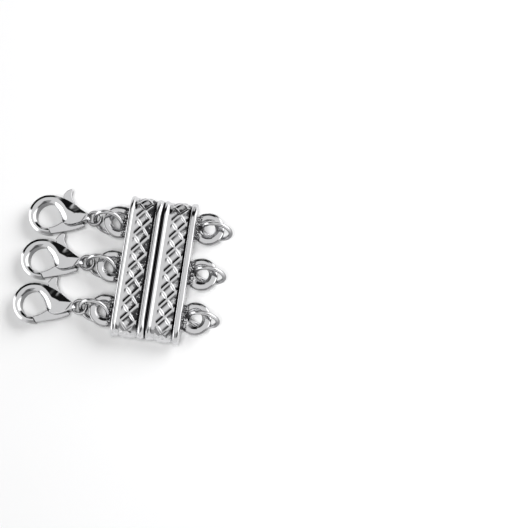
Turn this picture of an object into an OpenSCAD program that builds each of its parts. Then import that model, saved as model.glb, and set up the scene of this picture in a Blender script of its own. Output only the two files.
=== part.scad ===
// Magnetic necklace extender for three strands, lying closed on a flat surface.
// Two cast bars with a raised lattice meet face to face, held by small magnets. The claw side has
// three lobster claws, each hung on a jump ring, and the ring side has three end rings.
// Millimetres, +Z up, +X from the claws to the end rings, z = 0 is the surface that it lies on.

/* [Bars] */
// Length of a bar over its rounded ends
bar_len = 22.94; // [22.4:0.02:23.6]
// Height of a bar over its outer flange
bar_h = 4.24; // [4.16:0.02:4.4]
// Width of one bar, from the parting plane to its outer face
bar_w = 5.4; // [5.3:0.05:5.6]
// Gap between the two mating faces
face_gap = 0.05; // [0.03:0.01:0.1]
// Width of the rounded rib beside the parting plane
rib_w = 1.4; // [1.3:0.05:1.5]
// Width of the rounded flange at the outer face
flange_w = 1.05; // [1:0.05:1.15]
// How far the rib and the lattice stay below the flange
step_down = 0.18; // [0.1:0.02:0.24]
// Diamonds of the lattice along one flat side
diamonds = 6; // [6:1:6]
// Diamonds of the lattice round one end
end_diamonds = 3; // [3:1:3]
// Width of a raised strip of the lattice
strip_w = 0.55; // [0.45:0.05:0.65]
// Height of the strips above the ground between them
relief = 0.25; // [0.15:0.05:0.3]

/* [Magnets] */
// Diameter of a magnet
magnet_d = 2.4; // [2.2:0.1:2.4]
// Thickness of a magnet
magnet_t = 2; // [1.5:0.1:2.5]

/* [Loops and rings] */
// Distance between neighbouring strands
strand_pitch = 7.15; // [7:0.05:7.3]
// How far a bar's row of loops stands off its middle
row_offset = 0.25; // [0:0.05:0.3]
// Outer diameter of a cast loop
loop_d = 5; // [4.9:0.05:5.1]
// Wire diameter of a cast loop
loop_wire = 1.26; // [1.2:0.02:1.26]
// How far a loop's centre stands out from the parting plane
loop_x = 7.25; // [7.2:0.05:7.3]
// Outer diameter of a jump ring
ring_d = 5.28; // [5.26:0.01:5.3]
// Wire diameter of a jump ring
ring_wire = 0.68; // [0.66:0.01:0.68]

/* [Claws] */
// Thickness of a claw's hook
hook_t = 2; // [1.9:0.1:2]
// Thickness of a claw's belly
belly_t = 2.8; // [2.8:0.1:3]
// Width of the slot that the lever swings in
slot_t = 1; // [0.9:0.05:1.05]
// Thickness of the lever
lever_t = 0.8; // [0.7:0.05:0.85]
// Diameter of the pivot pin
pin_d = 0.66; // [0.6:0.02:0.68]
// How far a claw is turned on the surface, in degrees
claw_yaw = 2.45; // [2.4:0.05:2.5]

/* [Hidden] */
$fn = 64;
strands = 3;
steel = [0.72, 0.72, 0.74];
magnet_grey = [0.45, 0.45, 0.47];

// The whole piece is centred on its own box, so the parting plane stands right of the middle.
parting_x = 5.26;
mid_z = bar_h / 2;
end_y = (bar_len - bar_h) / 2;
crest_r = bar_h / 2;
low_crest_r = crest_r - step_down;
valley_r = crest_r - 0.62;
band_from = rib_w;
band_to = bar_w - flange_w;
band_mid = (band_from + band_to) / 2;
band_half = (band_to - band_from) / 2;
band_droop = 0.2;
pitch = 2.76;
band_r = low_crest_r - 0.02;
flat_rest = end_y - diamonds * pitch / 2;
end_pitch = (2 * flat_rest + PI * band_r) / end_diamonds;
seat_gap = 0.03;
rest_gap = 0.01;

// The cast root that joins a loop to its bar.
root_in = 0.3;
root_l = 0.65;
root_w = 3.2;
root_t = 0.9;

// Places of the strands, counted from +Y.
function strand_y(i) = (2 - i) * strand_pitch;
function magnet_y(i) = strand_y(i) * 0.9;
function claw_loop(i) = [parting_x - loop_x, strand_y(i) - row_offset];
function end_loop(i) = [parting_x + loop_x, strand_y(i) + row_offset];

// How the rings lie: centre from above, counted from the loop's, tilt from upright, and heading.
jump_ring_off = [-1.83, -0.18];
jump_ring_lean = 62.5;
jump_ring_heading = -99.5;
end_ring_off = [1.455, 0.045];
end_ring_lean = 71.5;
end_ring_heading = -93;

// A claw's own sizes, in a frame with the hook's middle at the origin and the eye on +X.
hook_at = [-0.05, -0.04];
hook_r = 3.25;
hole_at = [0.1, -0.2];
hole_r = 2.1;
bevel = 0.45;
hole_flare = 0.75;
eye_u = 7.42;
eye_r = 1.23;
eye_hole_r = 0.73;
eye_t = 0.95;
eye_off = [-3.92, -0.08];
claw_pitch = 5;
eye_z = (eye_u + hook_r - bevel) * sin(claw_pitch) + hook_t / 2 * cos(claw_pitch);
pivot = [4.3, -0.3];
lever_reach = 4.47;
lever_gap = 0.06;
pin_top = 0.9;
pin_seat_gap = 0.02;
pin_run_gap = 0.04;
belly_outline = [
    [0.6, 3.12], [2.44, 2.66], [3.29, 2.36], [4.15, 1.9], [5.02, 1.29], [6.07, 0.64], [6.6, 0.45],
    [6.6, -0.5], [6.05, -0.8], [5.56, -1.15], [4.94, -1.5], [4.3, -1.64], [3.6, -1.5], [2.73, -0.97], [2.3, -0.5]
];
cheek_outline = [
    [2.2, 1.7], [3, 1.3], [4.25, 0.9], [6, 0.4], [6, -0.4], [5.3, -1], [4.6, -1.35], [4, -1.4], [3.2, -1.1], [2.6, -0.6]
];
slot_outline = [
    [0.9, 0.35], [2.9, 0.45], [3.22, 0.25], [1.75, 3.5], [5.4, 3.5], [5.35, 0.2], [5.5, -0.3], [6.3, -1.25],
    [6.3, -3.5], [0.9, -3.5]
];
lever_outline = [
    [-0.3, -1.6], [-0.3, -3.3], [1.27, -2.87], [2.39, -2.53], [3.68, -2.17], [4.49, -2.02], [5.3, -1.79],
    [5.95, -1.38], [5.2, -0.5], [5, 0.3], [3.92, 2.39], [3.45, 3.1], [3.2, 3.6], [2.93, 4.45], [2.45, 4.2],
    [2.15, 3.7], [2.06, 3.06], [3.5, 0.2], [2.4, -0.75], [1.3, -1.45]
];

// A rounded ridge of the bar's section, as [radius, place across the bar].
function ridge(from, to, crest, steps = 8) = [
    for (i = [0:steps]) let (t = 180 * i / steps)
        [valley_r + (crest - valley_r) * sin(t), (from + to) / 2 - (to - from) / 2 * cos(t)]
];
// The band between the ridges, slightly domed, at a given depth below its strips.
function band(depth, half, steps = 5) = [
    for (i = [0:steps]) let (x = (2 * i / steps - 1) * half)
        [band_r - band_droop * pow(x / band_half, 2) - depth, band_mid + x]
];
core_edge = concat(
    [[valley_r, face_gap / 2]],
    ridge(0.1, rib_w - 0.08, low_crest_r),
    band(relief, band_half),
    ridge(band_to + 0.02, bar_w, crest_r)
);
lattice_half = band_half - 0.04;
lattice_edge = concat(
    [[valley_r - 0.35, band_mid - lattice_half]],
    band(0, lattice_half),
    [[valley_r - 0.35, band_mid + lattice_half]]
);
// A section closed towards the bar's middle line, for an end, and its two-sided form, for the flat stretch.
function closed(points) = concat([[0, points[0][1]]], points, [[0, points[len(points) - 1][1]]]);
function two_sided(points) = concat(points, [for (i = [len(points) - 1:-1:0]) [-points[i][0], points[i][1]]]);

// Sweeps the first child round one rounded end, and the second along the flat stretch.
module sweep() {
    translate([0, end_y, 0])
        rotate_extrude(angle = 180)
            children(0);
    rotate([90, 0, 0])
        linear_extrude(height = 2 * end_y, center = true)
            children(1);
}

module core() {
    sweep() {
        polygon(closed(core_edge));
        polygon(two_sided(core_edge));
    }
    translate([0, -end_y, 0])
        rotate([0, 0, 180])
            rotate_extrude(angle = 180)
                polygon(closed(core_edge));
}

module band_shell() {
    for (side = [0, 180])
        rotate([0, 0, side])
            sweep() {
                polygon(lattice_edge);
                polygon(lattice_edge);
            }
}

// One diamond between the strips, cut outwards from the bar's middle line.
module diamond(across) {
    half_y = pitch / 2 - strip_w * 0.72;
    half_x = band_half - strip_w * 0.74;
    translate([0, 0, across])
        rotate([0, 90, 0])
            linear_extrude(height = bar_h)
                polygon([[half_x, 0], [0, half_y], [-half_x, 0], [0, -half_y]]);
}

// Where a station's diamonds lie across the band: one in the middle, or two at its edges.
function across(whole) = whole ? [band_mid] : [band_from, band_to];

module lattice_cuts() {
    for (side = [0, 180])
        rotate([0, 0, side]) {
            for (k = [-diamonds:diamonds], x = across(abs(k) % 2 == 1))
                translate([0, k * pitch / 2, 0])
                    diamond(x);
            for (k = [1:2 * end_diamonds - 1], x = across(k % 2 == 1))
                translate([0, end_y, 0])
                    rotate([0, 0, (k * end_pitch / 2 - flat_rest) / band_r * 180 / PI])
                        diamond(x);
        }
}

module cast_loop() {
    rotate_extrude()
        translate([(loop_d - loop_wire) / 2, 0])
            circle(d = loop_wire);
    translate([bar_w - root_in - loop_x, -root_w / 2, -root_t / 2])
        cube([root_l, root_w, root_t]);
}

// One casting, its mating face towards x = 0 and its loops towards +X. Both bars are this casting.
module bar_half() {
    difference() {
        rotate([0, 90, 0]) {
            core();
            difference() {
                band_shell();
                lattice_cuts();
            }
        }
        for (i = [1:strands])
            translate([0, magnet_y(i), 0])
                rotate([0, 90, 0])
                    cylinder(d = magnet_d + 2 * seat_gap, h = face_gap / 2 + magnet_t + seat_gap);
    }
    for (i = [1:strands])
        translate([loop_x, strand_y(i) + row_offset, 0])
            cast_loop();
}

module ring_side_bar() {
    color(steel)
        translate([parting_x, 0, mid_z])
            bar_half();
}

module claw_side_bar() {
    color(steel)
        translate([parting_x, 0, mid_z])
            rotate([0, 0, 180])
                bar_half();
}

// A magnet in its seat, its face level with the bar's mating face. side is 1 or -1.
module magnet(i, side) {
    color(magnet_grey)
        translate([parting_x + side * face_gap / 2, magnet_y(i), mid_z])
            rotate([0, 90 * side, 0])
                cylinder(d = magnet_d, h = magnet_t);
}

module claw_side_magnet(i) {
    magnet(i, -1);
}

module ring_side_magnet(i) {
    magnet(i, 1);
}

// A round wire ring that stands on the surface and leans: its axis is tilted from upright by lean
// and points to the heading. place is its centre's place, from above.
module wire_ring(place, lean, heading) {
    wire_r = ring_d / 2 - ring_wire / 2;
    color(steel)
        translate([place[0], place[1], ring_wire / 2 + rest_gap + wire_r * sin(lean)])
            rotate([0, lean, heading])
                rotate_extrude()
                    translate([wire_r, 0])
                        circle(d = ring_wire);
}

module claw_jump_ring(i) {
    wire_ring(claw_loop(i) + jump_ring_off, jump_ring_lean, jump_ring_heading);
}

module end_ring(i) {
    wire_ring(end_loop(i) + end_ring_off, end_ring_lean, end_ring_heading);
}

// Puts a claw's own frame in place: origin at the eye's centre, hook towards -X, lying on its side
// with the eye held a little up by its jump ring.
module at_claw(i) {
    translate(concat(claw_loop(i) + eye_off, [eye_z]))
        rotate([0, 0, claw_yaw])
            rotate([0, -claw_pitch, 0])
                translate([-eye_u, 0, 0])
                    children();
}

// The hook's round, bevelled along its outer edge.
module hook_round() {
    translate([hook_at[0], hook_at[1], 0])
        rotate_extrude()
            polygon([
                [hook_r * 0.5, -hook_t / 2], [hook_r - bevel, -hook_t / 2], [hook_r, -bevel],
                [hook_r, bevel], [hook_r - bevel, hook_t / 2], [hook_r * 0.5, hook_t / 2]
            ]);
}

// The belly narrows from the full outline at mid-thickness to the flat cheeks.
module belly() {
    hull() {
        linear_extrude(height = 2 * bevel, center = true)
            polygon(belly_outline);
        linear_extrude(height = belly_t, center = true)
            polygon(cheek_outline);
    }
}

// The hook's hole, with a bevel that widens towards both cheeks.
module hook_hole() {
    wide_r = hole_r + (belly_t - bevel) * hole_flare;
    translate([hole_at[0], hole_at[1], 0])
        rotate_extrude()
            polygon([
                [0, -belly_t], [wide_r, -belly_t], [hole_r, -bevel],
                [hole_r, bevel], [wide_r, belly_t], [0, belly_t]
            ]);
}

// The mouth between the hook's tip and the cheeks. Its left edge is round the pivot.
module mouth() {
    intersection() {
        translate([pivot[0], pivot[1], 0])
            cylinder(r = lever_reach + lever_gap, h = 2 * belly_t, center = true);
        linear_extrude(height = 2 * belly_t, center = true)
            polygon([[-1, -1.6], [-1, -4], [5, -4], [5, -1], [2, -1]]);
    }
}

module pivot_bore(d, from, to) {
    translate([pivot[0], pivot[1], from])
        cylinder(d = d, h = to - from);
}

module claw_body(i) {
    color(steel)
        at_claw(i)
            difference() {
                union() {
                    difference() {
                        hook_round();
                        mouth();
                    }
                    belly();
                    translate([eye_u, 0, 0])
                        cylinder(r = eye_r, h = eye_t, center = true);
                }
                hook_hole();
                translate([eye_u, 0, 0])
                    cylinder(r = eye_hole_r, h = belly_t, center = true);
                linear_extrude(height = slot_t, center = true)
                    polygon(slot_outline);
                pivot_bore(pin_d + 2 * pin_seat_gap, -belly_t, pin_top + pin_seat_gap);
            }
}

module claw_lever(i) {
    color(steel)
        at_claw(i)
            difference() {
                intersection() {
                    linear_extrude(height = lever_t, center = true)
                        polygon(lever_outline);
                    translate([pivot[0], pivot[1], 0])
                        cylinder(r = lever_reach, h = belly_t, center = true);
                }
                pivot_bore(pin_d + 2 * pin_run_gap, -belly_t, belly_t);
            }
}

module claw_pin(i) {
    color(steel)
        at_claw(i)
            pivot_bore(pin_d, -belly_t / 2, pin_top);
}

claw_side_bar();
ring_side_bar();
for (i = [1:strands]) {
    claw_side_magnet(i);
    ring_side_magnet(i);
    claw_jump_ring(i);
    end_ring(i);
    claw_body(i);
    claw_lever(i);
    claw_pin(i);
}
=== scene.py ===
import math

import bmesh
import bpy
import numpy as np
from bpy.props import FloatProperty, FloatVectorProperty, IntProperty, PointerProperty
from mathutils import Matrix, Vector, noise


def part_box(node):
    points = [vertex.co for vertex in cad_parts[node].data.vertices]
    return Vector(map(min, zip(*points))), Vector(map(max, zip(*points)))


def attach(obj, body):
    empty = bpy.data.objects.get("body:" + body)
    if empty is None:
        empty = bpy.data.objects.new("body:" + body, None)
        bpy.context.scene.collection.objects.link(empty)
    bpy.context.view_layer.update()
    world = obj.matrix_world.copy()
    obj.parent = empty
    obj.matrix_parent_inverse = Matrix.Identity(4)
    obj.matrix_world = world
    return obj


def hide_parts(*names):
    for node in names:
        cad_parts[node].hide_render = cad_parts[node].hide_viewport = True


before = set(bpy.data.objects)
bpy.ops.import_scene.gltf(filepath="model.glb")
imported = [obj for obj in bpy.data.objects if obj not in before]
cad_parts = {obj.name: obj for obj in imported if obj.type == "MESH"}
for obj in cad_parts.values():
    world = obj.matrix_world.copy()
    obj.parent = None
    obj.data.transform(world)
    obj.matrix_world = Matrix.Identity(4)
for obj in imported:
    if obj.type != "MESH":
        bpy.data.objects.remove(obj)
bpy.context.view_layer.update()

# Draws a three-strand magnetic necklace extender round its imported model, lying closed on a pale floor.
# Metres, +Z up, +X from the claws to the end rings, z = 0 is the floor. Sizes given in millimetres
# are multiplied by MM where they are used.

bl_info = {
    "name": "Magnetic Necklace Extender",
    "version": (1, 0, 0),
    "blender": (4, 5, 0),
    "location": "3D View > Sidebar > Extender",
    "description": "Builds a three-strand magnetic necklace extender with its finishes, floor and light",
    "category": "Add Mesh",
}

MM = 0.001
STRANDS = 3

# What the frame gives: how high and long a bar is, where the halves part and where the strands lie.
BAR_LOW, BAR_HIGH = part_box("claw_side_bar")
BAR_LENGTH = BAR_HIGH.y - BAR_LOW.y
BAR_HEIGHT = BAR_HIGH.z - BAR_LOW.z
MIDDLE_Z = (BAR_HIGH.z + BAR_LOW.z) / 2
PARTING_X = (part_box("claw_side_magnet_1")[1].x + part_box("ring_side_magnet_1")[0].x) / 2


def middle(node):
    """The middle of a node's box."""
    low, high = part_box(node)
    return (low + high) / 2


MAGNET_PLACES = [middle(f"claw_side_magnet_{i}").y for i in range(1, STRANDS + 1)]
STRAND_PITCH = middle("claw_jump_ring_1").y - middle("claw_jump_ring_2").y


def length(name, description, millimetres):
    """A property that holds a length."""
    return FloatProperty(
        name=name, description=description, default=millimetres * MM, subtype="DISTANCE")


def angle(name, description, degrees):
    """A property that holds an angle."""
    return FloatProperty(
        name=name, description=description, default=math.radians(degrees), subtype="ANGLE")


class BarSizes(bpy.types.PropertyGroup):
    """Sizes of a cast bar, across from its mating face and along its rounded outline."""

    width: length("Width", "From the parting plane to the outer face", 5.4)
    face_gap: length("Face gap", "Gap between the two mating faces", 0.05)
    step_down: length("Step", "How far the lattice stays below the flange", 0.12)
    claw_band: length("Claw side lattice", "Parting plane to lattice middle, claws", 2.81)
    ring_band: length("Ring side lattice", "Parting plane to lattice middle, rings", 2.79)
    band_width: length("Band", "Width of the lattice", 2.62)
    claw_slide: length("Claw side slide", "Lattice's shift along its bar, claws", -0.61)
    ring_slide: length("Ring side slide", "Lattice's shift along its bar, rings", 0.72)
    diamonds: IntProperty(name="Diamonds", description="Diamonds along one flat side", default=6)
    end_diamonds: IntProperty(name="End diamonds", description="Diamonds round one end", default=3)
    pitch: length("Pitch", "Length of one diamond along the bar", 2.76)
    diamond_width: length("Diamond", "Width of one diamond across the bar", 2.3)
    strip: length("Strip", "Width of a raised strip's flat top", 0.3)
    wall: length("Wall", "Width of the slope beside a strip", 0.29)
    cross_strip: length("Cross strip", "Flat top of the strips the other way", 0.2)
    cross_wall: length("Cross wall", "Slope beside the strips the other way", 0.19)
    relief: length("Relief", "Height of the strips above the ground", 0.14)
    droop: length("Droop", "How far the lattice falls towards its edges", 0.07)
    end_fade: FloatProperty(
        name="End fade", description="Share of a groove's depth lost at the ends",
        default=0.6, subtype="FACTOR")
    end_sag: length("End sag", "How far the lattice's sides fall away at the ends", 0.2)
    end_reach: length("End reach", "Length of the rounding at each end", 3.2)
    magnet: length("Magnet", "Diameter of a magnet", 2.4)
    magnet_depth: length("Magnet depth", "Thickness of a magnet", 2.0)


class RingSizes(bpy.types.PropertyGroup):
    """Sizes of the cast loops and the wire rings, and how the rings lie."""

    loop: length("Loop", "Diameter of the middle line of a cast loop", 3.7)
    claw_loop_reach: length("Claw side loops", "Parting plane to loop middle, claws", 6.78)
    ring_loop_reach: length("Ring side loops", "Parting plane to loop middle, rings", 7.38)
    claw_rows: FloatVectorProperty(
        name="Claw side rows", description="Shifts of the claws' loops, bottom first",
        default=(0.32 * MM, 0.36 * MM, 0.24 * MM), unit="LENGTH")
    ring_rows: FloatVectorProperty(
        name="Ring side rows", description="Shifts of the end rings' loops, top first",
        default=(0.49 * MM, 0.24 * MM, 0.26 * MM), unit="LENGTH")
    jump_shift: FloatVectorProperty(
        name="Jump ring shift", description="Pull of a jump ring towards its loop",
        default=(0.62 * MM, -0.18 * MM, 0), subtype="XYZ", unit="LENGTH")
    end_shift: FloatVectorProperty(
        name="End ring shift", description="Shift of an end ring in its loop",
        default=(0, 0, 0), subtype="XYZ", unit="LENGTH")
    ring: length("Ring", "Outer diameter of a wire ring", 5.28)
    wire: length("Wire", "Diameter of the rings' wire", 0.68)
    jump_lean: angle("Jump ring lean", "Tilt of a jump ring's axis", 57)
    jump_heading: angle("Jump ring heading", "Way a jump ring's axis points", -99.5)
    end_lean: angle("End ring lean", "Tilt of an end ring's axis", 71.5)
    end_heading: angle("End ring heading", "Way an end ring's axis points", -93)


class ClawSizes(bpy.types.PropertyGroup):
    """Sizes of a lobster claw, its lever and its pivot."""

    hook: length("Hook", "Outer radius of the hook", 3.17)
    hole: length("Hole", "Radius of the hook's hole", 2.1)
    reach: length("Reach", "From the hook's middle to the eye's", 7.42)
    eye: length("Eye", "Outer radius of the eye", 1.32)
    eye_hole: length("Eye hole", "Radius of the eye's hole", 0.78)
    eye_depth: length("Eye thickness", "Thickness of the eye", 0.95)
    slot: length("Slot", "Width of the lever's slot", 1.0)
    lever: length("Lever", "Thickness of the lever", 0.8)
    pin: length("Pin", "Diameter of the pivot pin", 0.66)
    yaw: angle("Turn", "How far a claw is turned on the floor", 2.45)
    rise: angle("Rise", "How far a claw's eye is tilted up", 5)


class PlateLook(bpy.types.PropertyGroup):
    """Colours and gloss of the plated metal, and the near-black colour that is painted where shade should
    fall.
    """

    plate: FloatVectorProperty(
        name="Plate", description="Colour of the bright plate",
        default=(0.65, 0.65, 0.66), subtype="COLOR")
    # The near-black colour painted as shade on the sides of claws and wires and in the castings' joint,
    # grooves and lattice; the solder's dark specks use it too.
    shade_colour: FloatVectorProperty(
        name="Shading", description="Colour of the dull recesses",
        default=(0.02, 0.02, 0.022), subtype="COLOR")
    gloss: FloatProperty(
        name="Roughness", description="Roughness of the bright plate",
        default=0.05, subtype="FACTOR")


class StageLook(bpy.types.PropertyGroup):
    """The camera's place and the power of the lamps."""

    azimuth: angle("Azimuth", "Camera's turn round the piece", 7.8)
    elevation: angle("Elevation", "Camera's height above the floor", 79)
    distance: length("Distance", "From the camera to the point it looks at", 195)
    view_angle: angle("View angle", "Camera's angle of view", 24.46)
    aim: FloatVectorProperty(
        name="Aim", description="Point on the floor that the camera looks at",
        default=(22.11 * MM, 3.69 * MM, 0), subtype="XYZ", unit="LENGTH")
    key_power: FloatProperty(
        name="Key", description="Power of the key light in watts", default=1.45, unit="POWER")
    fill_power: FloatProperty(
        name="Fill", description="Power of the overhead fill light in watts",
        default=1.75, unit="POWER")


def sizes(name):
    """One of the scene's groups of sizes."""
    return getattr(bpy.context.scene, name)


# Meshes

def new_object(name, data):
    """A new object in the scene that shows this mesh, curve, lamp or camera."""
    made = bpy.data.objects.new(name, data)
    bpy.context.scene.collection.objects.link(made)
    return made


def mesh_piece(name, points, faces, smooth=30, painted_shade=None):
    """A mesh object of these points and faces, facing outwards, smooth up to an angle in degrees.

    Where painted_shade is given, its values say how much shade is painted at each point, for the finish.
    """
    mesh = bpy.data.meshes.new(name)
    mesh.from_pydata([tuple(p) for p in points], [], [tuple(f) for f in faces])
    if painted_shade:
        mesh.attributes.new("painted_shade", "FLOAT", "POINT").data.foreach_set("value", painted_shade)
    tidy_mesh(mesh, smooth)
    return new_object(name, mesh)


def tidy_mesh(mesh, smooth):
    """Welds doubled points, turns the faces outwards and marks the sharp edges."""
    work = bmesh.new()
    work.from_mesh(mesh)
    bmesh.ops.remove_doubles(work, verts=work.verts, dist=1e-7)
    bmesh.ops.recalc_face_normals(work, faces=work.faces)
    work.to_mesh(mesh)
    work.free()
    mesh.shade_smooth()
    mesh.set_sharp_from_angle(angle=math.radians(smooth))


def grid_faces(rows, columns, closed):
    """Quads between rows of points, each row a ring; a closed grid joins the last row to the first."""
    faces = []
    for r in range(rows if closed else rows - 1):
        here, below = r * columns, (r + 1) % rows * columns
        for c in range(columns):
            beside = (c + 1) % columns
            faces.append((here + c, here + beside, below + beside, below + c))
    return faces


def loft(name, rows):
    """A closed mesh through rows of points, round each row and capped at both ends."""
    sides = len(rows[0])
    points = [spot for row in rows for spot in row]
    faces = grid_faces(len(rows), sides, False)
    faces += [range(sides), range(len(points) - sides, len(points))]
    return mesh_piece(name, points, faces)


def tube(name, path, section, wobble, seed):
    """A closed section of (across, up) places swept along a closed path, lightly uneven."""
    points = []
    for centre, across, up in path:
        for out, high in section:
            spot = centre + across * out + up * high
            uneven = wobble * noise.noise(spot / MM + Vector((seed * 7.3, 0, 0)))
            points.append(spot + (spot - centre).normalized() * uneven)
    return mesh_piece(name, points, grid_faces(len(path), len(section), True))


def round_section(radius, sides):
    """Points round a circle, as a closed section."""
    turns = [2 * math.pi * k / sides for k in range(sides)]
    return [(radius * math.cos(turn), radius * math.sin(turn)) for turn in turns]


def ring_path(centre, major, frame_matrix, steps):
    """Stations round a circle about the matrix's Z axis."""
    path = []
    for i in range(steps):
        turn = 2 * math.pi * i / steps
        out = frame_matrix @ Vector((math.cos(turn), math.sin(turn), 0))
        path.append((centre + out * major, out, frame_matrix @ Vector((0, 0, 1))))
    return path


def carve(piece, tool, operation):
    """Joins a tool to a piece or cuts it away, and removes the tool."""
    step = piece.modifiers.new(operation.title(), "BOOLEAN")
    step.operation = operation
    step.object = tool
    step.solver = "EXACT"
    mesh = shown_mesh(piece)
    piece.modifiers.clear()
    old = piece.data
    piece.data = mesh
    bpy.data.meshes.remove(old)
    bpy.data.objects.remove(tool)


def shown_mesh(piece):
    """A plain mesh of what an object shows, with its modifiers or its curve's settings worked in."""
    bpy.context.view_layer.update()
    return bpy.data.meshes.new_from_object(piece.evaluated_get(bpy.context.evaluated_depsgraph_get()))


def copy_piece(piece, name, matrix):
    """A copy of a piece with its own mesh, put in place by a matrix."""
    mesh = piece.data.copy()
    mesh.transform(matrix)
    return new_object(name, mesh)


def catmull(points, steps):
    """A smooth open curve through the rows of an array, with steps spans between two rows."""
    rows = np.asarray(points, float)
    padded = np.vstack([2 * rows[0] - rows[1], rows, 2 * rows[-1] - rows[-2]])
    out = []
    for i in range(1, len(padded) - 2):
        a, b, c, d = padded[i - 1:i + 3]
        for k in range(steps):
            t = k / steps
            out.append(0.5 * (2 * b + (c - a) * t + (2 * a - 5 * b + 4 * c - d) * t * t
                              + (3 * b - a - 3 * c + d) * t ** 3))
    out.append(rows[-1])
    return np.array(out)


# The cast bars

# Roundings and unevenness of the casting, and its joins and clearances, in millimetres.
EDGE_ROUNDING = 0.025
UNEVENNESS = 0.02
BAND_MARGIN = 0.03
LOOP_UNEVENNESS = 0.03
SEAT_CLEARANCE = 0.03
# How far beyond the lattice band its painted shade is kept.
SHADE_MARGIN = 0.05
# Below this depth a groove fills up towards the bar's ends.
FILL_DEPTH = 0.35
# Share of the lattice's relief that is lost round the ends, and noise marks a millimetre.
END_WEAR = 0.7
CAST_GRAIN = 0.9
SOLDER_GRAIN = 1.7


def lattice_steps(bar, strip, wall):
    """Places of the grid lines between two strips, 0 to 2, and the strips' height at each."""
    slope = math.hypot(2 / bar.pitch, 2 / bar.diamond_width)
    edge = strip / 2 * slope
    foot = edge + wall * slope
    soft = EDGE_ROUNDING * MM * slope
    half = [(0, 1), (edge / 2, 1), (edge - soft, 1), (edge, 0.97), (edge + soft, 0.88),
            ((edge + foot) / 2, 0.5), (foot - soft, 0.1), (foot, 0.02), (foot + soft, 0), (0.8, 0), (1, 0)]
    return half + [(2 - place, height) for place, height in half[-2::-1]]


def along_bar(bar, slide):
    """A function from (station, across, depth) to points on the bar's outline, and its whole length.

    Lengths along it are counted in stations, two to a diamond. Round the two ends deep grooves grow
    shallower, and a point falls by its sag.
    """
    end_y = BAR_LENGTH / 2 - bar.end_reach
    band_depth = bar.step_down + UNEVENNESS * MM
    turns = np.linspace(0, math.pi, 181)
    steps = np.hypot(np.diff((bar.end_reach - band_depth) * np.sin(turns)),
                     np.diff((BAR_HEIGHT / 2 - band_depth) * np.cos(turns)))
    bend_runs = np.concatenate([[0], np.cumsum(steps)])
    bend = bend_runs[-1]
    stations = np.cumsum([-bar.diamonds, 2 * bar.diamonds, 2 * bar.end_diamonds,
                          2 * bar.diamonds, 2 * bar.end_diamonds])
    runs = np.cumsum([-end_y, 2 * end_y, bend, 2 * end_y, bend])
    whole = stations[-1] - stations[0]

    def place(station, across, depth, sag=0.0):
        station = (np.asarray(station, float) + 2 * slide / bar.pitch - stations[0]) % whole + stations[0]
        run = np.interp(station, stations, runs)
        turn = np.interp(run - end_y, bend_runs, turns)
        turn = turn + np.interp(run - 3 * end_y - bend, bend_runs, turns)
        slid = np.clip(run, -end_y, end_y) - np.clip(run - end_y - bend, 0, 2 * end_y)
        slid = slid + np.clip(run - 3 * end_y - 2 * bend, 0, None)
        round_end = np.sin(turn) ** 2
        filled = np.clip(depth - FILL_DEPTH * MM, 0, None) * bar.end_fade * round_end
        fall = depth - filled + sag * round_end
        y = slid + (bar.end_reach - fall) * np.sin(turn)
        z = (BAR_HEIGHT / 2 - fall) * np.cos(turn)
        return np.stack([across + 0 * y, y, z], -1)

    return place, whole


# Sections of rib and flange in millimetres: place from the parting plane, depth below the flange's top.
# The claw side has a deep groove beside its rib, the ring side beside its flange; the others are flush.
DEEP_RIB = (
    (0.025, 0.62), (0.06, 0.50), (0.15, 0.40), (0.28, 0.30), (0.40, 0.215), (0.55, 0.145), (0.68, 0.115),
    (0.78, 0.12), (0.90, 0.16), (1.02, 0.225), (1.10, 0.25), (1.16, 0.30), (1.24, 0.46), (1.36, 0.62),
    (1.47, 0.64))
FLUSH_RIB = (
    (0.025, 0.45), (0.06, 0.33), (0.14, 0.25), (0.24, 0.20), (0.34, 0.165), (0.45, 0.15), (0.54, 0.165),
    (0.64, 0.21), (0.78, 0.28), (0.90, 0.33), (1.02, 0.355), (1.2, 0.35), (1.45, 0.33))
DEEP_FLANGE = (
    (4.13, 0.64), (4.20, 0.58), (4.28, 0.46), (4.36, 0.30), (4.44, 0.14), (4.52, 0.07), (4.64, 0.02),
    (4.8, 0.01), (5.0, 0.01), (5.14, 0.03), (5.26, 0.08), (5.34, 0.17), (5.38, 0.3), (5.4, 0.5))
FLUSH_FLANGE = (
    (4.15, 0.26), (4.35, 0.25), (4.54, 0.225), (4.66, 0.19), (4.74, 0.12), (4.82, 0.05), (4.91, 0.03),
    (5.02, 0.02), (5.15, 0.06), (5.25, 0.115), (5.33, 0.19), (5.38, 0.30), (5.4, 0.45))
# Section of a cast loop in millimetres: outwards from its middle line, up.
LOOP_SECTION = (
    (0.71, 0.0), (0.71, 0.31), (0.68, 0.43), (0.60, 0.50), (0.48, 0.55), (0.37, 0.58), (0.24, 0.605),
    (0.08, 0.62), (-0.08, 0.615), (-0.24, 0.575), (-0.44, 0.505), (-0.63, 0.435), (-0.71, 0.33),
    (-0.71, 0.0), (-0.71, -0.26), (-0.65, -0.43), (-0.24, -0.6), (0.0, -0.62), (0.24, -0.6),
    (0.65, -0.46), (0.71, -0.30), (0.71, 0.0))
# Sections of the solder at a loop's foot: place beyond the outer face in millimetres, then the shares of
# its half width and half height that it has there.
SOLDER_SECTIONS = (
    (-0.35, 1.0, 1.0), (0.0, 1.0, 1.0), (0.3, 0.95, 0.95), (0.55, 0.86, 0.82), (0.74, 0.68, 0.6),
    (0.84, 0.4, 0.3))
SOLDER_HALF_WIDTH = 1.95
SOLDER_HALF_HEIGHT = 0.72
SOLDER_LUMPS = 0.2
# How much shade is painted on the lattice at each of the grid lines from a strip's middle to a cell's
# middle, darkest down the strips' walls and at their foot, and the share of this on the strips' lit side,
# where less is painted.
WALL_SHADE = (0, 0, 0, 0.1, 0.6, 1, 1, 1, 0.7, 0, 0)
LIT_SIDE_SHARE = 0.6


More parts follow.
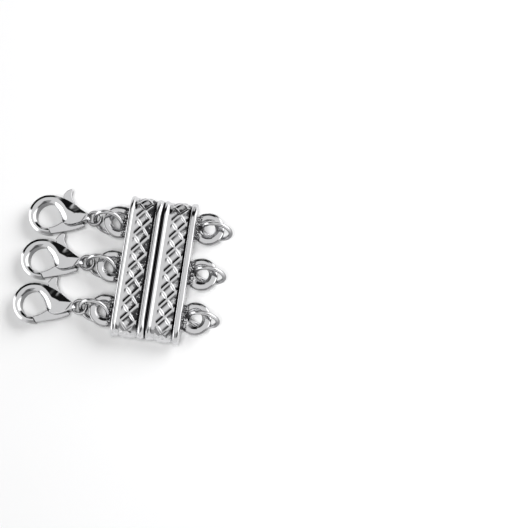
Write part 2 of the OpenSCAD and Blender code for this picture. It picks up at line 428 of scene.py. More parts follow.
def lattice_patch(bar, whole, turned):
    """The lattice laid out flat: points as (station, side, height, painted shade), side from -1 to 1, and
    faces.

    Its grid lines run along the strips, so that their edges stay crisp, and it is trimmed to the band.
    """
    cross_marks = lattice_steps(bar, bar.cross_strip, bar.cross_wall)
    marks = lattice_steps(bar, bar.strip, bar.wall)
    per_cell = len(marks) - 1
    reach = bar.band_width / bar.diamond_width
    work = bmesh.new()
    painted_shade = work.verts.layers.float.new("painted_shade")
    made = {}

    def vertex(p_index, q_index):
        key = p_index, q_index
        if key not in made:
            (p_cell, p_mark), (q_cell, q_mark) = divmod(p_index, per_cell), divmod(q_index, per_cell)
            p, q = 2 * p_cell + cross_marks[p_mark][0], 2 * q_cell + marks[q_mark][0]
            height = max(cross_marks[p_mark][1], marks[q_mark][1])
            made[key] = work.verts.new(((p + q) / 2, (p - q) / 2 / reach, height))
            # Painted shade down the strips' walls, less on the cross strips and on the strips' lit side,
            # which a turned bar has the other way.
            made[key][painted_shade] = WALL_SHADE[min(q_mark, per_cell - q_mark)] * (1 - cross_marks[p_mark][1])
            if (q_mark < per_cell / 2) == turned:
                made[key][painted_shade] *= LIT_SIDE_SHARE
        return made[key]

    for q in range(-2 * per_cell, (whole // 2 + 2) * per_cell):
        for p in range(q - 2 * per_cell, q + 2 * per_cell):
            corners = [vertex(p, q), vertex(p + 1, q), vertex(p + 1, q + 1), vertex(p, q + 1)]
            sides = [c.co.y for c in corners]
            stations = [c.co.x for c in corners]
            if min(sides) < 1 and max(sides) > -1 and min(stations) < whole and max(stations) > 0:
                work.faces.new(corners)
    for place, way in (((0, 1, 0), (0, 1, 0)), ((0, -1, 0), (0, -1, 0)),
                       ((0, 0, 0), (-1, 0, 0)), ((whole, 0, 0), (1, 0, 0))):
        everything = work.verts[:] + work.edges[:] + work.faces[:]
        bmesh.ops.bisect_plane(work, geom=everything, dist=1e-6, plane_co=place, plane_no=way,
                               clear_outer=True)
    loose = [v for v in work.verts if not v.link_faces]
    bmesh.ops.delete(work, geom=loose, context="VERTS")
    work.verts.index_update()
    points = [(*v.co, v[painted_shade]) for v in work.verts]
    faces = [[v.index for v in f.verts] for f in work.faces]
    work.free()
    return points, faces


def outline_rows(section, first, last):
    """Depth and place across of a smoothed section, stretched to lie between two places."""
    rows = catmull(section, 3) * MM
    start, end = rows[0, 0], rows[-1, 0]
    across = first + (rows[:, 0] - start) * (last - first) / (end - start)
    return list(zip(rows[:, 1], across))


def bar_shell(bar, band_middle, slide, turned, rib_section, flange_section):
    """The closed body of one casting: mating face, rib, lattice band, flange and outer face.

    A turned bar lies the other way round in the clasp, so its strips get the lighter painted shade on their
    other side.
    """
    place, whole = along_bar(bar, slide)
    patch, faces = lattice_patch(bar, whole, turned)
    points = []
    for station, side, height, _ in patch:
        across = band_middle + side * bar.band_width / 2
        depth = bar.step_down + bar.droop * side ** 2 + bar.relief * (1 - height)
        sag = bar.end_sag * side ** 2 - bar.relief * (1 - height) * END_WEAR
        uneven = noise.noise(Vector(place(station, across, depth)) / MM * CAST_GRAIN)
        points.append(place(station, across, depth + uneven * UNEVENNESS * MM, sag))
    edges = []
    for side in (-1, 1):
        edge = [i for i, spot in enumerate(patch) if abs(spot[1] - side) < 1e-5]
        edges.append(sorted(edge, key=lambda i: patch[i][0]))
    margin = BAND_MARGIN * MM
    rib = outline_rows(rib_section, bar.face_gap / 2, band_middle - bar.band_width / 2 - margin)
    flange = outline_rows(flange_section, band_middle + bar.band_width / 2 + margin, bar.width)
    for edge, section in ((edges[0], rib[::-1]), (edges[1], flange)):
        stations = [patch[i][0] for i in edge]
        near = edge
        for depth, across in section:
            far = list(range(len(points), len(points) + len(edge)))
            points.extend(place(stations, np.full(len(edge), across), np.full(len(edge), depth)))
            for i in range(len(edge) - 1):
                faces.append([near[i], near[i + 1], far[i + 1], far[i]])
            near = far
        faces.append(near[:-1])
    # Painted shade of the strips' walls; rib and flange get none.
    painted_shade = [spot[3] for spot in patch] + [0.0] * (len(points) - len(patch))
    return mesh_piece("bar_casting", points, faces, 25, painted_shade)


def loop_root(place_y, bar):
    """The soldered foot between a loop and its bar: a low lumpy mound across the outer face."""
    rows = []
    for forward, wide, high in SOLDER_SECTIONS:
        row = []
        for y, z in round_section(MM, 40):
            spot = Vector((bar.width + forward * MM, place_y + SOLDER_HALF_WIDTH * wide * y,
                           SOLDER_HALF_HEIGHT * high * z))
            lump = 1 + SOLDER_LUMPS * noise.noise(spot / MM * SOLDER_GRAIN)
            spot.y = place_y + (spot.y - place_y) * lump
            spot.z *= lump
            row.append(spot)
        rows.append(row)
    return loft("loop_root", rows)


def disc_tool(name, centre, axis, radius, depth, sides=48):
    """A plain round plug for cutting a bore, from its centre along an axis."""
    turn = axis.to_track_quat("Z", "Y").to_matrix()
    rim = round_section(radius, sides)
    return loft(name, [[centre + turn @ Vector((x, y, height)) for x, y in rim] for height in (0, depth)])


def casting(bar, ring, body, reach, rows):
    """One whole casting: the shell given as body, with loops and magnet seats, mating face at x = 0."""
    section = catmull(LOOP_SECTION, 3)[:-1] * MM
    clearance = SEAT_CLEARANCE * MM
    for i in range(STRANDS):
        loop_y = (1 - i) * STRAND_PITCH + rows[i]
        path = ring_path(Vector((reach, loop_y, 0)), ring.loop / 2, Matrix.Identity(3), 96)
        carve(body, tube("cast_loop", path, section, LOOP_UNEVENNESS * MM, i), "UNION")
        carve(body, loop_root(loop_y, bar), "UNION")
        seat = disc_tool("magnet_seat", Vector((0, MAGNET_PLACES[i], 0)), Vector((1, 0, 0)),
                         bar.magnet / 2 + clearance, bar.face_gap / 2 + bar.magnet_depth + clearance)
        carve(body, seat, "DIFFERENCE")
    tidy_mesh(body.data, 28)
    clear_shade_beside_lattice(body.data, bar)
    return body


def clear_shade_beside_lattice(mesh, bar):
    """Takes the painted shade off all points outside the lattice band, where joining the pieces leaves
    some.
    """
    reach = bar.band_width / 2 + SHADE_MARGIN * MM
    lowest = min(bar.claw_band, bar.ring_band) - reach
    highest = max(bar.claw_band, bar.ring_band) + reach
    for vertex, mark in zip(mesh.vertices, mesh.attributes["painted_shade"].data):
        if not lowest < vertex.co.x < highest:
            mark.value = 0


class BuildBars(bpy.types.Operator):
    """Make the two cast bars and finish the magnets in them"""

    bl_idname = "extender.bars"
    bl_label = "Bars and Magnets"

    def execute(self, context):
        bar, ring = sizes("bar_sizes"), sizes("ring_sizes")
        cast = cast_plate(sizes("plate_look"))
        claw_shell = bar_shell(bar, bar.claw_band, bar.claw_slide, True, DEEP_RIB, FLUSH_FLANGE)
        ring_shell = bar_shell(bar, bar.ring_band, bar.ring_slide, False, FLUSH_RIB, DEEP_FLANGE)
        middle_of_joint = Matrix.Translation((PARTING_X, 0, MIDDLE_Z))
        for name, turn, shell, reach, rows in (
                ("claw_side", math.pi, claw_shell, ring.claw_loop_reach, ring.claw_rows),
                ("ring_side", 0, ring_shell, ring.ring_loop_reach, ring.ring_rows)):
            matrix = middle_of_joint @ Matrix.Rotation(turn, 4, "Z")
            piece = casting(bar, ring, shell, reach, rows)
            piece.name = f"{name}_casting"
            piece.data.transform(matrix)
            dress(piece, cast)
            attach(piece, name)
            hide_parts(f"{name}_bar")
            for i in range(1, STRANDS + 1):
                dress(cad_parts[f"{name}_magnet_{i}"], magnet_plate())
        return {"FINISHED"}


# The rings

# How uneven a ring's wire is, in millimetres.
WIRE_UNEVENNESS = 0.004


class BuildRings(bpy.types.Operator):
    """Make the jump rings and the end rings of round wire"""

    bl_idname = "extender.rings"
    bl_label = "Wire Rings"

    def execute(self, context):
        ring = sizes("ring_sizes")
        wire = wire_plate(sizes("plate_look"))
        uneven = WIRE_UNEVENNESS * MM
        section = round_section(ring.wire / 2 - uneven, 24)
        kinds = (("claw_jump_ring", "claw_side", ring.jump_lean, ring.jump_heading, ring.jump_shift),
                 ("end_ring", "ring_side", ring.end_lean, ring.end_heading, ring.end_shift))
        for kind, body_name, lean, heading, shift in kinds:
            for i in range(1, STRANDS + 1):
                node = f"{kind}_{i}"
                turn = Matrix.Rotation(heading, 3, "Z") @ Matrix.Rotation(lean, 3, "Y")
                path = ring_path(middle(node) + Vector(shift), (ring.ring - ring.wire) / 2, turn, 128)
                piece = tube(f"{kind}_wire_{i}", path, section, uneven, i)
                dress(piece, wire)
                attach(piece, body_name)
                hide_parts(node)
        return {"FINISHED"}


# The claws

# Sections of a claw's body, from the hook's tip round the hook and out to the neck, in millimetres. The
# hook's sections stand at these turns in degrees, and have slopes and edges as given. A belly section
# runs from the inner edge up a slope to the flat, and from the flat down a slope to the outer edge: the
# places of these four, then half the thickness at the inner edge, the flat and the outer edge. The slope
# at the inner edge swells a little in the middle, by this share of its rise.
INNER_SWELL = 0.06
HOOK_SECTIONS = (-76, -90, -112, -135, -158, -180, -203, -226, -248, -266)
HOOK_MIDDLE = (0.03, -0.06)
HOLE_MIDDLE = (0.1, -0.2)
HOOK_SLOPE = 0.36
HOOK_INNER = (0.80, 0.82, 0.82, 0.82, 0.78, 0.76, 0.80, 0.82, 0.80, 0.77)
HOOK_OUTER = (0.80, 0.80, 0.79, 0.77, 0.76, 0.80, 0.88, 0.88, 0.87, 0.86)
BELLY_SECTIONS = (
    (0.56, 1.84, 0.66, 2.16, 0.72, 2.76, 0.82, 3.09, 0.72, 1.02, 0.87),
    (1.00, 1.50, 1.42, 1.82, 1.52, 2.46, 1.74, 2.88, 0.66, 1.07, 0.86),
    (1.44, 1.02, 2.16, 1.28, 2.30, 1.84, 2.76, 2.56, 0.60, 1.13, 0.75),
    (1.80, 0.49, 2.66, 0.60, 2.95, 1.10, 3.76, 2.10, 0.62, 1.19, 0.63),
    (2.04, 0.00, 2.96, 0.14, 3.56, 0.68, 4.50, 1.66, 0.62, 1.24, 0.80),
    (2.24, -0.48, 3.14, -0.32, 4.20, 0.47, 5.08, 1.25, 0.66, 1.28, 0.93),
    (2.44, -0.90, 3.18, -0.82, 4.76, 0.42, 5.56, 0.95, 0.76, 1.31, 1.07),
    (2.76, -1.30, 3.06, -1.26, 5.20, 0.42, 5.94, 0.74, 1.08, 1.33, 1.18),
    (3.50, -1.56, 3.52, -1.44, 5.60, 0.42, 6.18, 0.62, 1.12, 1.34, 1.24),
    (4.40, -1.46, 4.38, -1.34, 5.96, 0.40, 6.36, 0.55, 1.12, 1.33, 1.25),
    (5.16, -1.16, 5.12, -1.05, 6.24, 0.36, 6.50, 0.50, 1.08, 1.28, 1.20),
    (5.86, -0.78, 5.82, -0.66, 6.46, 0.32, 6.62, 0.46, 0.94, 1.12, 1.04),
    (6.40, -0.50, 6.38, -0.40, 6.64, 0.30, 6.74, 0.42, 0.62, 0.78, 0.70),
    (6.80, -0.38, 6.80, -0.30, 6.84, 0.28, 6.90, 0.38, 0.36, 0.48, 0.40),
)
SLOT_OUTLINE = ((0.9, 0.35), (2.9, 0.45), (3.22, 0.25), (1.75, 3.5), (5.4, 3.5), (5.35, 0.2), (5.5, -0.3),
                (6.3, -1.25), (6.3, -3.5), (0.9, -3.5))
LEVER_OUTLINE = (
    (0.1, -2.12), (-0.15, -2.3), (-0.1, -2.7), (0.1, -3.0), (0.45, -3.12), (1.27, -2.93), (2.39, -2.66),
    (3.68, -2.34), (4.49, -2.1), (5.3, -1.75), (5.95, -1.3), (5.2, -0.5), (5.0, 0.3), (4.3, 1.75),
    (3.85, 2.4), (3.5, 2.95), (3.3, 3.5), (3.34, 4.25), (3.04, 4.46), (2.56, 4.24), (2.14, 3.74),
    (1.98, 3.0), (3.5, 0.2), (2.45, -0.85), (1.4, -1.62), (0.7, -1.95))
# The pivot, how far the lever's tip reaches from it, the lever's rounding and the clearances.
PIVOT = (4.3, -0.3)
LEVER_REACH = 4.47
LEVER_ROUNDING = 0.13
PIN_CLEARANCE = 0.04
MOUTH_CLEARANCE = 0.06
# The pin's two ends above and below the claw's middle.
PIN_ENDS = (0.9, -1.4)
# How far each claw is pulled from its packed place, in millimetres.
CLAW_SHIFTS = ((0.30, 0.16, 0), (0.30, 0.06, 0), (0.27, 0.07, 0))


def claw_turn(claw):
    """The turn that lays a claw on the floor with its eye tilted up."""
    return Matrix.Rotation(claw.yaw, 4, "Z") @ Matrix.Rotation(-claw.rise, 4, "Y")


def section_profile(row):
    """The closed outline of one section as points (u, v, height)."""
    inner, rise, fall, outer = (Vector(row[k:k + 2]) for k in (0, 2, 4, 6))
    edge_in, flat, edge_out = row[8:11]
    upper = [(*inner, edge_in * 0.5), (*inner, edge_in)]
    for t in (0.33, 0.67):
        swell = t + INNER_SWELL * math.sin(math.pi * t)
        upper.append((*inner.lerp(rise, t), edge_in + (flat - edge_in) * swell))
    upper += [(*rise.lerp(fall, t), flat) for t in (0, 0.33, 0.67, 1)]
    for t in (0.25, 0.5, 0.75):
        upper.append((*fall.lerp(outer, t), flat + (edge_out - flat) * t))
    upper += [(*outer, edge_out), (*outer, edge_out * 0.5)]
    return upper + [(u, v, -height) for u, v, height in reversed(upper)]


def claw_rows(claw):
    """All sections of the claw's body, smoothed between the named ones."""
    rows = []
    for degrees, inner_edge, outer_edge in zip(HOOK_SECTIONS, HOOK_INNER, HOOK_OUTER):
        turn = math.radians(degrees)
        way = Vector((math.cos(turn), math.sin(turn)))
        inner = Vector(HOLE_MIDDLE) + way * claw.hole / MM
        outer = Vector(HOOK_MIDDLE) + way * claw.hook / MM
        rise, fall = inner + way * HOOK_SLOPE, outer - way * HOOK_SLOPE
        rows.append((*inner, *rise, *fall, *outer, inner_edge, 1.0, outer_edge))
    rows += BELLY_SECTIONS
    return catmull(rows, 6)


def claw_body_mesh(claw):
    """The hook, belly and neck in one loft, with its eye joined on and the lever's slot cut."""
    sections = [section_profile(tuple(row)) for row in claw_rows(claw)]
    body = loft("claw_form", [[Vector(spot) * MM for spot in section] for section in sections])
    carve(body, eye_mesh(claw), "UNION")
    carve(body, prism("slot", SLOT_OUTLINE, claw.slot / MM), "DIFFERENCE")
    mouth = pivot_plug("mouth", (LEVER_REACH + MOUTH_CLEARANCE) * MM, 3, 128)
    keep = prism("mouth_side", ((-1, -1.7), (-1, -4), (3, -4), (2, -1.7)), 6)
    carve(mouth, keep, "INTERSECT")
    carve(body, mouth, "DIFFERENCE")
    tidy_mesh(body.data, 22)
    return body


def eye_mesh(claw):
    """The eye: a flattened ring with rounded edges."""
    wide = (claw.eye - claw.eye_hole) / 2
    section = [(wide * out, claw.eye_depth / 2 * up) for out, up in round_section(1, 20)]
    path = ring_path(Vector((claw.reach, 0, 0)), claw.eye_hole + wide, Matrix.Identity(3), 64)
    return tube("eye", path, section, 0, 0)


def pivot_plug(name, radius, half, sides):
    """A round plug about the pivot's axis, reaching half millimetres above and below the middle."""
    return disc_tool(name, Vector((*PIVOT, -half)) * MM, Vector((0, 0, 1)), radius, 2 * half * MM, sides)


def prism(name, outline, thickness):
    """A flat plate of an outline, centred on z = 0, in millimetres."""
    heights = (-thickness / 2, thickness / 2)
    return loft(name, [[Vector((u, v, z)) * MM for u, v in outline] for z in heights])


def rounded_plate(name, outline, thickness, edge):
    """A plate of a smooth outline with rounded edges, in millimetres."""
    curve = bpy.data.curves.new(name, "CURVE")
    curve.dimensions = "2D"
    curve.fill_mode = "BOTH"
    curve.extrude = (thickness / 2 - edge) * MM
    curve.bevel_depth = edge * MM
    curve.offset = -edge * MM
    curve.bevel_resolution = 3
    spline = curve.splines.new("POLY")
    spline.points.add(len(outline) - 1)
    for point, (u, v) in zip(spline.points, outline):
        point.co = (u * MM, v * MM, 0, 1)
    spline.use_cyclic_u = True
    shaped = new_object(name, curve)
    mesh = shown_mesh(shaped)
    bpy.data.objects.remove(shaped)
    tidy_mesh(mesh, 30)
    return new_object(name, mesh)


def lever_mesh(claw):
    """The lever with its thumb piece, rounded at the edges, with the pin's bore."""
    loop = catmull(LEVER_OUTLINE + LEVER_OUTLINE[:1], 5)[:-1]
    lever = rounded_plate("lever_form", [tuple(p) for p in loop], claw.lever / MM, LEVER_ROUNDING)
    carve(lever, pivot_plug("bore", claw.pin / 2 + PIN_CLEARANCE * MM, 2, 48), "DIFFERENCE")
    reach = pivot_plug("reach", LEVER_REACH * MM, 2, 128)
    side = prism("reach_side", ((-2, 6), (-2, -6), (8, -6), (8, 6)), 3.9)
    carve(side, reach, "INTERSECT")
    box = prism("nub_side", ((1, 1), (1, 6), (6, 6), (6, 1)), 3.8)
    carve(side, box, "UNION")
    carve(lever, side, "INTERSECT")
    tidy_mesh(lever.data, 30)
    return lever


class BuildClaws(bpy.types.Operator):
    """Make the lobster claws and their levers, and finish their pins"""

    bl_idname = "extender.claws"
    bl_label = "Lobster Claws"

    def execute(self, context):
        claw = sizes("claw_sizes")
        plate = claw_plate(sizes("plate_look"))
        body = claw_body_mesh(claw)
        lever = lever_mesh(claw)
        turn = claw_turn(claw)
        for i in range(1, STRANDS + 1):
            matrix = Matrix.Translation(pin_shift(i, turn) + Vector(CLAW_SHIFTS[i - 1]) * MM) @ turn
            for form, name, body_name, node in (
                    (body, f"claw_form_{i}", "claw_side", f"claw_body_{i}"),
                    (lever, f"claw_thumb_lever_{i}", f"lever_{i}", f"claw_lever_{i}")):
                piece = copy_piece(form, name, matrix)
                dress(piece, plate)
                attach(piece, body_name)
                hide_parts(node)
            dress(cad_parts[f"claw_pin_{i}"], plate)
        bpy.data.objects.remove(body)
        bpy.data.objects.remove(lever)
        return {"FINISHED"}


def pin_shift(i, turn):
    """Where a claw's own origin lies, worked out from its pivot pin's middle."""
    local = Vector((*PIVOT, sum(PIN_ENDS) / 2)) * MM
    return middle(f"claw_pin_{i}") - turn @ local


# Finishes

class Value:
    """A socket in a finish's maths, on which arithmetic adds Math nodes."""

    def __init__(self, maker, socket):
        self.maker = maker
        self.socket = socket

    def __add__(self, other):
        return self.maker.math("ADD", self, other)

    def __mul__(self, other):
        return self.maker.math("MULTIPLY", self, other)

    def __sub__(self, other):
        return self.maker.math("SUBTRACT", self, other)

    def __rsub__(self, other):
        return self.maker.math("SUBTRACT", other, self)

    def __truediv__(self, other):
        return self.maker.math("DIVIDE", self, other)

    def __rtruediv__(self, other):
        return self.maker.math("DIVIDE", other, self)

    def __abs__(self):
        return self.maker.math("ABSOLUTE", self)

    __radd__ = __add__
    __rmul__ = __mul__


class Shader:
    """Adds nodes to one node tree."""

    def __init__(self, tree):
        self.tree = tree
        tree.nodes.clear()

    def node(self, kind, settings=None, sockets=None, out=0):
        """A node of a kind, with its settings set first, then its sockets' values or links."""
        made = self.tree.nodes.new(kind)
        for name, value in (settings or {}).items():
            setattr(made, name, value)
        for name, value in (sockets or {}).items():
            if isinstance(value, Value):
                self.tree.links.new(value.socket, made.inputs[name])
            else:
                made.inputs[name].default_value = value
        return Value(self, made.outputs[out]) if made.outputs else made

    def math(self, operation, *inputs):
        """A Math node on values or numbers."""
        return self.node("ShaderNodeMath", {"operation": operation}, dict(enumerate(inputs)))

    def split(self, vector):
        """The x, y and z of a vector."""
        parts = self.node("ShaderNodeSeparateXYZ", {}, {0: vector}).socket.node.outputs
        return [Value(self, part) for part in parts]

    def facing_up(self):
        """How far the surface faces up in the object's own space, 1 for straight up or down."""
        return abs(self.split(self.node("ShaderNodeTexCoord", out="Normal"))[2])

    def between(self, value, low, high):
        """0 below low, 1 above high, smooth between."""
        return self.node("ShaderNodeMapRange", {"interpolation_type": "SMOOTHSTEP", "clamp": True},
                         {"Value": value, "From Min": low, "From Max": high})

    def band(self, value, low, full, fade, high):
        """0 below low and above high, 1 from full to fade, smooth between."""
        return self.between(value, low, full) * (1 - self.between(value, fade, high))

    def speckle(self, scale, detail=2, rough=0.5):
        """Noise in the object's own coordinates, scale in marks a millimetre."""
        where = self.node("ShaderNodeTexCoord", out="Object")
        return self.node("ShaderNodeTexNoise", {}, {"Vector": where, "Scale": scale / MM,
                                                     "Detail": detail, "Roughness": rough})

    def tint(self, share, first, second):
        """A colour between two others."""
        return self.node("ShaderNodeMix", {"data_type": "RGBA"}, {0: share, 6: first, 7: second}, out=2)


def finish(name, build):
    """A material whose surface is made by a function that is given its Shader."""
    known = bpy.data.materials.get(name)
    if known:
        return known
    material = bpy.data.materials.new(name)
    material.use_nodes = True
    shader = Shader(material.node_tree)
    surface = build(shader)
    shader.node("ShaderNodeOutputMaterial", {}, {"Surface": surface})
    return material


def dress(piece, material):
    """Gives a piece one material all over."""
    piece.data.materials.clear()
    piece.data.materials.append(material)


def metal(shader, colour, roughness, height, depth):
    """Bare plated metal with a colour, a roughness and a bump height, depth in millimetres."""
    bump = shader.node("ShaderNodeBump", {}, {"Height": height, "Distance": depth * MM, "Strength": 1.0})
    return shader.node("ShaderNodeBsdfPrincipled", {}, {"Base Color": colour, "Metallic": 1.0,
                                                        "Roughness": roughness, "Normal": bump})


def rgba(colour, share=1.0):
    """A colour made darker or lighter by a share, with its alpha."""
    return tuple(c * share for c in colour) + (1.0,)


# How much painted shade shows on the sides of claws and wires, and on a casting where its painted shade is
# darkest.
SIDE_SHADE = 0.7
CAST_SHADE = 0.96


def claw_plate(look):
    """Bright plate, with shade painted where the claws and levers turn away from the top."""
    def build(shader):
        film = shader.speckle(0.35, 3)
        fine = shader.speckle(9, 2)
        bright = shader.tint(film, rgba(look.plate, 0.96), rgba(look.plate, 1.03))
        # Painted shade on the sides, which turn away from the top.
        shaded = 1 - shader.between(shader.facing_up(), 0.2, 0.55)
        colour = shader.tint(shaded * SIDE_SHADE, bright, rgba(look.shade_colour))
        roughness = look.gloss * 0.8 + film * 0.03
        return metal(shader, colour, roughness, fine, 0.0006)
    return finish("bright_claw_plate", build)


def wire_plate(look):
    """Bright plate on drawn wire, with shade painted down its sides."""
    def build(shader):
        film = shader.speckle(0.5, 3)
        drawn = shader.speckle(6, 2)
        bright = shader.tint(film, rgba(look.plate, 0.96), rgba(look.plate, 1.05))
        # Painted shade down the wire's sides, which turn away from the top.
        shaded = 1 - shader.between(shader.facing_up(), 0.3, 0.7)
        colour = shader.tint(shaded * SIDE_SHADE, bright, rgba(look.shade_colour))
        return metal(shader, colour, look.gloss + film * 0.05, drawn, 0.0012)
    return finish("drawn_wire_plate", build)


# Soft edges of the painted shade and the solder's specks on a casting, in millimetres: from and to, or
# from, full, fading and to.
# SIDE counts from the parting plane both ways, DEPTH down from the bar's top, SPECKS across both bars
# with the claws' side below 0, and END along the bars from their middle.
JOINT_SIDE = (0.29, 0.37)
JOINT_DEPTH = (0.7, 1.0)
GROOVE_SIDE = (4.9, 5.1)
GROOVE_DEPTH = (0.5, 0.58)
GROUND_DEPTH = (0.19, 0.235)
CLAW_SPECKS = (-3.6, -2.1, -1.2, -1.0)
RING_SPECKS = (2.9, 4.5, 4.4, 4.6)
SOLDER_SIDE = (5.35, 5.5, 6.1, 6.4)
FLANK_SIDE = (5.6, 5.8)
# Towards the bars' low end the painted shade and the specks fade out.
UNSHADED_END = (-10.4, -9.2)
# The same for how far a loop faces up and for the noise that makes the specks.
FLANK_FACING = (0.55, 0.82)
SPECK_NOISE = (0.86, 0.90)
SOLDER_NOISE = (0.42, 0.48)


def cast_plate(look):
    """Plate on the castings, with shade painted in their joint, grooves and lattice and on the loops'
    sides, and dark specks on the solder.
    """
    def build(shader):
        x, y, z = shader.split(shader.node("ShaderNodeTexCoord", out="Object"))
        across = (x - PARTING_X) / MM
        side = abs(across)
        reach = sizes("bar_sizes").end_reach
        past_end = shader.math("MAXIMUM", abs(y) - BAR_LENGTH / 2 + reach, 0.0) * (BAR_HEIGHT / 2 / reach)
        high = z - MIDDLE_Z
        from_top = BAR_HEIGHT / 2 / MM - shader.math("SQRT", past_end * past_end + high * high) / MM
        grain = shader.speckle(4.5, 3, 0.6)
        coarse = shader.speckle(1.1, 2)
        # Painted shade: in the joint and the deep grooves, along the strips' walls, on the loops' flanks
        # and in specks on the lattice's sunken ground; the solder gets dark specks too. At one end the bar
        # gets none of this.
        joint = 1 - shader.between(side + past_end / MM * 0.1, *JOINT_SIDE)
        joint = joint * (1 - shader.between(from_top, *JOINT_DEPTH))
        grooves = shader.between(from_top + coarse * 0.08, *GROOVE_DEPTH)
        grooves = grooves * (1 - shader.between(side, *GROOVE_SIDE))
        pushed = shader.band(across, *CLAW_SPECKS) + shader.band(across, *RING_SPECKS)
        rough = shader.between(from_top, *GROUND_DEPTH) * shader.math("MINIMUM", pushed, 1.0)
        solder = shader.band(side, *SOLDER_SIDE)
        specks = rough * shader.between(coarse * 0.6 + grain * 0.9 + rough * 0.24, *SPECK_NOISE)
        specks = specks + solder * shader.between(grain, *SOLDER_NOISE)
        walls = shader.node("ShaderNodeAttribute", {"attribute_name": "painted_shade"}, out="Fac")
        flanks = shader.between(side, *FLANK_SIDE) * (1 - shader.between(shader.facing_up(), *FLANK_FACING))
        bar_shade = (grooves + specks + walls) * shader.between(y / MM, *UNSHADED_END)
        painted_shade = shader.math("MINIMUM", joint + bar_shade + flanks * CAST_SHADE, 1.0)
        # The plate darkens towards the shade colour where shade is painted and on the solder's specks.
        colour = shader.tint(painted_shade * CAST_SHADE, rgba(look.plate), rgba(look.shade_colour))
        roughness = look.gloss + coarse * 0.04 + shader.math("MINIMUM", specks, 1.0) * 0.2
        return metal(shader, colour, roughness, grain * (0.2 + rough + solder), 0.02)
    return finish("cast_lattice_plate", build)


def magnet_plate():
    """Dull nickel on the hidden magnets."""
    def build(shader):
        film = shader.speckle(1.2, 3)
        colour = shader.tint(film, (0.42, 0.42, 0.43, 1), (0.55, 0.55, 0.56, 1))
        return metal(shader, colour, 0.22 + film * 0.12, shader.speckle(7, 2), 0.002)
    return finish("magnet_nickel", build)


# The stage

# The lamps: way round from +X and elevation in degrees, then distance and width in millimetres.
KEY_LAMP = (40, 31, 360, 300)
FILL_LAMP = (-82, 80, 500, 250)
# Half the floor's width and the backdrop's radius in metres.
FLOOR_HALF = 1.5
BACKDROP_RADIUS = 1.4
# Cards of the light tent: way round from +X in degrees, half width, elevations from and to, brightness.
TENT_CARDS = (
    (230, 40, 31, 56, 0.40),
    (298, 30, 34, 60, 0.14),
    (22, 42, -20, 54, 2.0),
    (190, 30, -25, 27, 2.4),
    (160, 34, 29, 48, 0.03),
    (98, 18, 17, 60, 0.01),
    (117, 51, 17, 47, 0.01),
    (99, 7, -10, 33, 0.70),
)
# The brightness between the cards, and how soft their sides and their ends are, in degrees.
TENT_GLOW = 0.9
SOFT_SIDES = 5
SOFT_ENDS = 4


def floor_paper():
    """Pale matt paper."""
    def build(shader):
        colour = shader.tint(shader.speckle(0.02, 2), (0.88, 0.88, 0.885, 1), (0.90, 0.90, 0.90, 1))
        return shader.node("ShaderNodeBsdfPrincipled", {}, {"Base Color": colour, "Roughness": 0.9,
                                                            "Specular IOR Level": 0.1})
    return finish("floor_paper", build)


def backdrop_paper():
    """Glowing white paper round the floor, which only the camera sees."""
    def build(shader):
        glow = shader.tint(shader.speckle(0.01, 1), (0.97, 0.97, 0.975, 1), (1, 1, 1, 1))
        return shader.node("ShaderNodeEmission", {}, {"Color": glow, "Strength": 1.0})
    return finish("backdrop_paper", build)


def direction(azimuth, elevation):
    """The way that points at an angle round from +X and an angle above the floor."""
    return Vector((math.cos(azimuth) * math.cos(elevation), math.sin(azimuth) * math.cos(elevation),
                   math.sin(elevation)))


def flat_square(name, half):
    """A square sheet lying at z = 0, this far out from the middle on each side."""
    points = [(-half, -half, 0), (half, -half, 0), (half, half, 0), (-half, half, 0)]
    return mesh_piece(name, points, [(0, 1, 2, 3)])


def dome(name, radius):
    """The upper half of a sphere, open at the floor."""
    rings, sides = 12, 48
    points = [direction(2 * math.pi * k / sides, math.pi / 2 * r / rings) * radius
              for r in range(rings) for k in range(sides)]
    faces = grid_faces(rings, sides, False)
    faces.append(range(len(points) - sides, len(points)))
    return mesh_piece(name, points, faces)


def light_tent():
    """Light that only reflections see: a grey glow with bright and dark cards in it, by direction."""
    world = bpy.data.worlds.new("light_tent")
    world.use_nodes = True
    world.cycles_visibility.diffuse = False
    bpy.context.scene.world = world
    shader = Shader(world.node_tree)
    x, y, z = shader.split(shader.node("ShaderNodeTexCoord", out="Generated"))
    # The small number keeps the division below safe straight overhead.
    level = shader.math("SQRT", x * x + y * y + 1e-6)
    light = TENT_GLOW
    for turn, half, low, high, bright in TENT_CARDS:
        a = math.radians(turn)
        sides = [math.cos(math.radians(half + soft)) for soft in (SOFT_SIDES, -SOFT_SIDES)]
        top = [math.sin(math.radians(high + soft)) for soft in (-SOFT_ENDS, SOFT_ENDS)]
        foot = [math.sin(math.radians(low + soft)) for soft in (-SOFT_ENDS, SOFT_ENDS)]
        inside = shader.between((x * math.cos(a) + y * math.sin(a)) / level, *sides)
        mask = inside * (1 - shader.between(z, *top)) * shader.between(z, *foot)
        light = mask * bright + (1 - mask) * light
    glow = shader.node("ShaderNodeCombineColor", {}, {0: light, 1: light, 2: light})
    surface = shader.node("ShaderNodeBackground", {}, {"Color": glow, "Strength": 1.0})
    shader.node("ShaderNodeOutputWorld", {}, {"Surface": surface})


def soft_lamp(name, lamp, power):
    """A round lamp that looks at the middle of the floor and shows in no reflection."""
    azimuth, elevation, distance, width = lamp
    light = bpy.data.lights.new(name, "AREA")
    light.shape = "DISK"
    light.size = width * MM
    light.energy = power
    way = direction(math.radians(azimuth), math.radians(elevation))
    piece = new_object(name, light)
    piece.location = way * (distance * MM)
    piece.rotation_euler = (-way).to_track_quat("-Z", "Y").to_euler()
    piece.visible_glossy = False


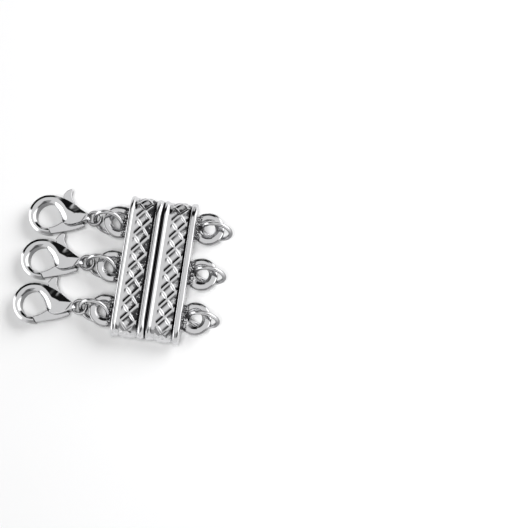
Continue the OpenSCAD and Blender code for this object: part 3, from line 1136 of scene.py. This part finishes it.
class BuildStage(bpy.types.Operator):
    """Lay the pale floor, set the soft light and place the camera"""

    bl_idname = "extender.stage"
    bl_label = "Floor, Light and Camera"

    def execute(self, context):
        look = sizes("stage_look")
        back = Vector((math.sin(look.azimuth) * math.cos(look.elevation),
                       -math.cos(look.azimuth) * math.cos(look.elevation), math.sin(look.elevation)))
        lens = bpy.data.cameras.new("camera")
        lens.angle = look.view_angle
        lens.clip_start, lens.clip_end = 5 * MM, 20.0
        camera = new_object("camera", lens)
        camera.location = Vector(look.aim) + back * look.distance
        camera.rotation_euler = (-back).to_track_quat("-Z", "Y").to_euler()
        context.scene.camera = camera
        floor = flat_square("floor", FLOOR_HALF)
        dress(floor, floor_paper())
        backdrop = dome("backdrop", BACKDROP_RADIUS)
        dress(backdrop, backdrop_paper())
        for ray in ("diffuse", "glossy", "transmission", "volume_scatter", "shadow"):
            setattr(backdrop, f"visible_{ray}", False)
        light_tent()
        soft_lamp("key", KEY_LAMP, look.key_power)
        soft_lamp("fill", FILL_LAMP, look.fill_power)
        context.scene.view_settings.view_transform = "Standard"
        return {"FINISHED"}


class ExtenderPanel(bpy.types.Panel):
    """Lists the steps that build the extender"""

    bl_idname = "VIEW3D_PT_extender"
    bl_label = "Necklace Extender"
    bl_space_type = "VIEW_3D"
    bl_region_type = "UI"
    bl_category = "Extender"

    def draw(self, context):
        for operator in OPERATORS:
            self.layout.operator(operator.bl_idname)


GROUPS = {"bar_sizes": BarSizes, "ring_sizes": RingSizes, "claw_sizes": ClawSizes,
          "plate_look": PlateLook, "stage_look": StageLook}
OPERATORS = (BuildStage, BuildBars, BuildRings, BuildClaws)


def register():
    for kind in (*GROUPS.values(), *OPERATORS, ExtenderPanel):
        bpy.utils.register_class(kind)
    for name, kind in GROUPS.items():
        setattr(bpy.types.Scene, name, PointerProperty(type=kind))


def unregister():
    for name in GROUPS:
        delattr(bpy.types.Scene, name)
    for kind in (ExtenderPanel, *OPERATORS, *GROUPS.values()):
        bpy.utils.unregister_class(kind)


def main():
    register()
    bpy.ops.extender.stage()
    bpy.ops.extender.bars()
    bpy.ops.extender.rings()
    bpy.ops.extender.claws()


if __name__ == "__main__":
    main()
